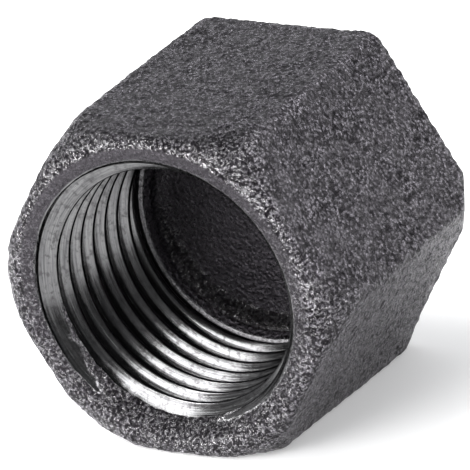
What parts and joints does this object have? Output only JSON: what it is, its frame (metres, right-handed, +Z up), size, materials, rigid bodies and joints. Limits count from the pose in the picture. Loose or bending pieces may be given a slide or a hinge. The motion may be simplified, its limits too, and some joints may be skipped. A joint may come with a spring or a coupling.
{
  "type": "pipe cap",
  "caption": "Hexagonal malleable-iron pipe cap with a tapped blind socket, screwed onto a pipe's threaded end to close it.",
  "frame": {"origin": "middle of the wrench flat that the cap lies on", "axes": "+Z up out of the opposite wrench flat, -Y out of the mouth along the thread's axis, +X across the corners"},
  "size_m": [0.0286, 0.023, 0.025],
  "materials": {
    "cast_iron": "as-cast sandy skin with a dark oxide coat, bright tool marks in the tapped bore"
  },
  "bodies": {
    "root": {"cap": "cast_iron"}
  },
  "joints": []
}
